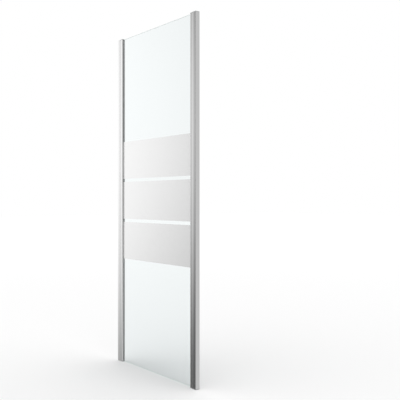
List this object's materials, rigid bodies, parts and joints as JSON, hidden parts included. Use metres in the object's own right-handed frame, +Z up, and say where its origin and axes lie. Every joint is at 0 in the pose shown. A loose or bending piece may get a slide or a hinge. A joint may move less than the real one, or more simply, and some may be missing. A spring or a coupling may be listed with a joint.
{
  "type": "fixed shower screen",
  "caption": "Frameless-edged glass shower screen with silver bands, held between an adjustable wall channel and a slim corner post.",
  "frame": {"origin": "foot of the wall face, in the middle of the channel's thickness, at the level of the shower tray", "axes": "+X along the screen from the wall to the corner post, +Y into the shower, +Z up"},
  "size_m": [0.76, 0.0284, 1.9],
  "materials": {
    "anodised_aluminium": "satin silver anodised extrusion",
    "clear_glass": "clear toughened glass, faint green edge",
    "silver_film": "opaque silver film",
    "dark_gasket": "matt dark grey glazing gasket",
    "grey_plastic": "moulded, mid grey with a fine grain",
    "white_nylon": "plain nylon",
    "stainless_steel": "bright stainless"
  },
  "bodies": {
    "wall_side": {"wall_channel": "anodised_aluminium", "clamp_screws": "stainless_steel", "clamp_screw_covers": "grey_plastic", "clamp_plates": "stainless_steel"},
    "panel": {"wall_stile": "anodised_aluminium", "wall_stile_top_cap": "grey_plastic", "wall_stile_bottom_cap": "grey_plastic", "wall_outer_gasket": "dark_gasket", "wall_inner_gasket": "dark_gasket", "wall_edge_packers": "white_nylon", "wall_setting_pad": "white_nylon", "glass_pane": "clear_glass", "lower_band": "silver_film", "middle_band": "silver_film", "upper_band": "silver_film", "post_stile": "anodised_aluminium", "post_outer_gasket": "dark_gasket", "post_inner_gasket": "dark_gasket", "post_edge_packers": "white_nylon", "post_setting_pad": "white_nylon", "corner_post": "anodised_aluminium", "corner_post_top_cap": "grey_plastic", "corner_post_bottom_cap": "grey_plastic", "post_screws": "stainless_steel", "post_screw_covers": "grey_plastic"}
  },
  "joints": [
    {"name": "width_adjust", "type": "slide", "parent": "wall_side", "child": "panel", "axis": [1, 0, 0], "range_m": [-0.005, 0.005]}
  ]
}
